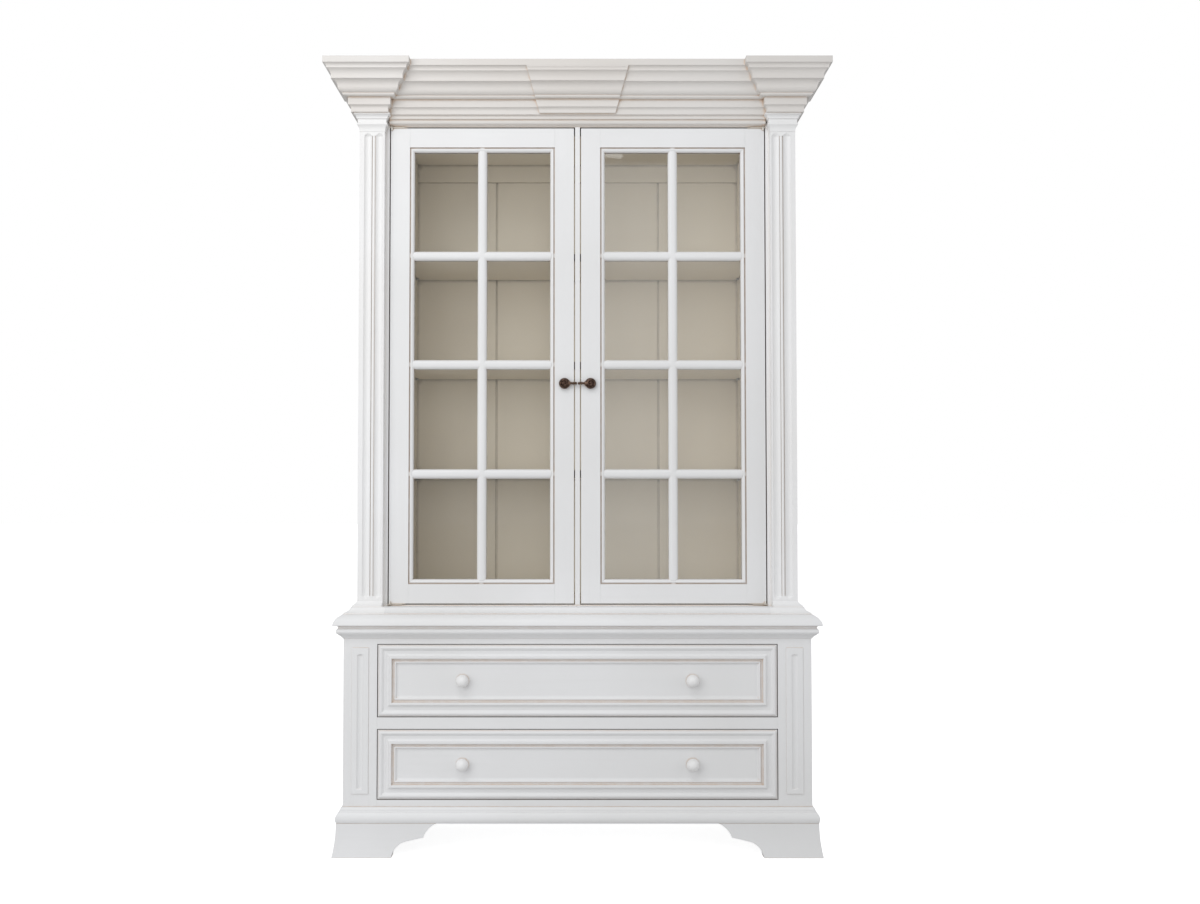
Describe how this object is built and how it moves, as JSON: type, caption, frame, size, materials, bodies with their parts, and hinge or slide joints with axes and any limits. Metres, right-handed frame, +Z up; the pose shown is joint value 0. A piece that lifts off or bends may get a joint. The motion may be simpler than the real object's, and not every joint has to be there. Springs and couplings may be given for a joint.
{
  "type": "china cabinet",
  "caption": "Tall painted china cabinet with two glazed doors over shelves, drawers below, fluted pilasters, a stepped cornice and bracket feet.",
  "frame": {"origin": "on the floor, in the middle of the bounding box", "axes": "+X to the right seen from the front, +Y from the doors to the back, +Z up"},
  "size_m": [1.3654, 0.45, 2.134],
  "materials": {
    "white_paint": "satin white paint with a pale tan glaze in the recesses",
    "inside_paint": "greige satin paint",
    "bare_wood": "sealed bare wood",
    "glass": "clear float glass",
    "bronze": "oil-rubbed bronze patina",
    "painted_hinge": "painted over with the cabinet",
    "steel": "plain steel pins"
  },
  "bodies": {
    "case": {"rear_feet": "white_paint", "base_moulding": "white_paint", "base_bottom_panel": "white_paint", "base_rail_bottom": "white_paint", "base_rail_middle": "white_paint", "base_rail_top": "white_paint", "base_back_panel": "white_paint", "drawer_runners": "bare_wood", "waist_board": "white_paint", "waist_moulding": "white_paint", "hutch_base_rail": "white_paint", "hutch_base_moulding": "white_paint", "hutch_bottom_board": "white_paint", "hutch_centre_stile": "white_paint", "hutch_head_rail": "white_paint", "hutch_top_board": "white_paint", "hutch_back_panel": "inside_paint", "shelf_pins": "steel", "cornice_runs": "white_paint", "cornice_keystone": "white_paint", "door_pivot_pins": "painted_hinge", "base_side_left": "white_paint", "base_side_right": "white_paint", "hutch_side_left": "white_paint", "hutch_side_right": "white_paint", "hutch_pilaster_left": "white_paint", "hutch_pilaster_right": "white_paint", "base_corner_post_left": "white_paint", "base_corner_post_right": "white_paint", "front_foot_left": "white_paint", "front_foot_right": "white_paint", "cornice_block_left": "white_paint", "cornice_block_right": "white_paint", "shelf_lower": "inside_paint", "shelf_middle": "inside_paint", "shelf_upper": "inside_paint"},
    "upper_drawer": {"upper_drawer_front": "white_paint", "upper_drawer_sides": "bare_wood", "upper_drawer_bottom": "bare_wood", "upper_drawer_back": "bare_wood", "upper_drawer_knobs": "white_paint"},
    "lower_drawer": {"lower_drawer_front": "white_paint", "lower_drawer_sides": "bare_wood", "lower_drawer_bottom": "bare_wood", "lower_drawer_back": "bare_wood", "lower_drawer_knobs": "white_paint"},
    "left_door": {"left_door_stiles": "white_paint", "left_door_rails": "white_paint", "left_door_muntins": "white_paint", "left_door_glass": "glass", "left_door_glass_stops": "white_paint", "left_door_pivots": "painted_hinge"},
    "right_door": {"right_door_stiles": "white_paint", "right_door_rails": "white_paint", "right_door_muntins": "white_paint", "right_door_glass": "glass", "right_door_glass_stops": "white_paint", "right_door_pivots": "painted_hinge"},
    "left_latch": {"left_latch": "bronze"},
    "right_latch": {"right_latch": "bronze"}
  },
  "joints": [
    {"name": "left_door_hinge", "type": "hinge", "parent": "case", "child": "left_door", "pos_m": [-0.5122, -0.118, 0.663], "axis": [0, 0, -1], "range_deg": [0, 110]},
    {"name": "right_door_hinge", "type": "hinge", "parent": "case", "child": "right_door", "pos_m": [0.5122, -0.118, 0.663], "axis": [0, 0, 1], "range_deg": [0, 110]},
    {"name": "upper_drawer_slide", "type": "slide", "parent": "case", "child": "upper_drawer", "axis": [0, -1, 0], "range_m": [0, 0.26]},
    {"name": "lower_drawer_slide", "type": "slide", "parent": "case", "child": "lower_drawer", "axis": [0, -1, 0], "range_m": [0, 0.26]},
    {"name": "left_latch_turn", "type": "hinge", "parent": "left_door", "child": "left_latch", "pos_m": [-0.0357, -0.115, 1.2645], "axis": [0, 1, 0], "range_deg": [0, 90]},
    {"name": "right_latch_turn", "type": "hinge", "parent": "right_door", "child": "right_latch", "pos_m": [0.0357, -0.115, 1.2645], "axis": [0, -1, 0], "range_deg": [0, 90]}
  ]
}
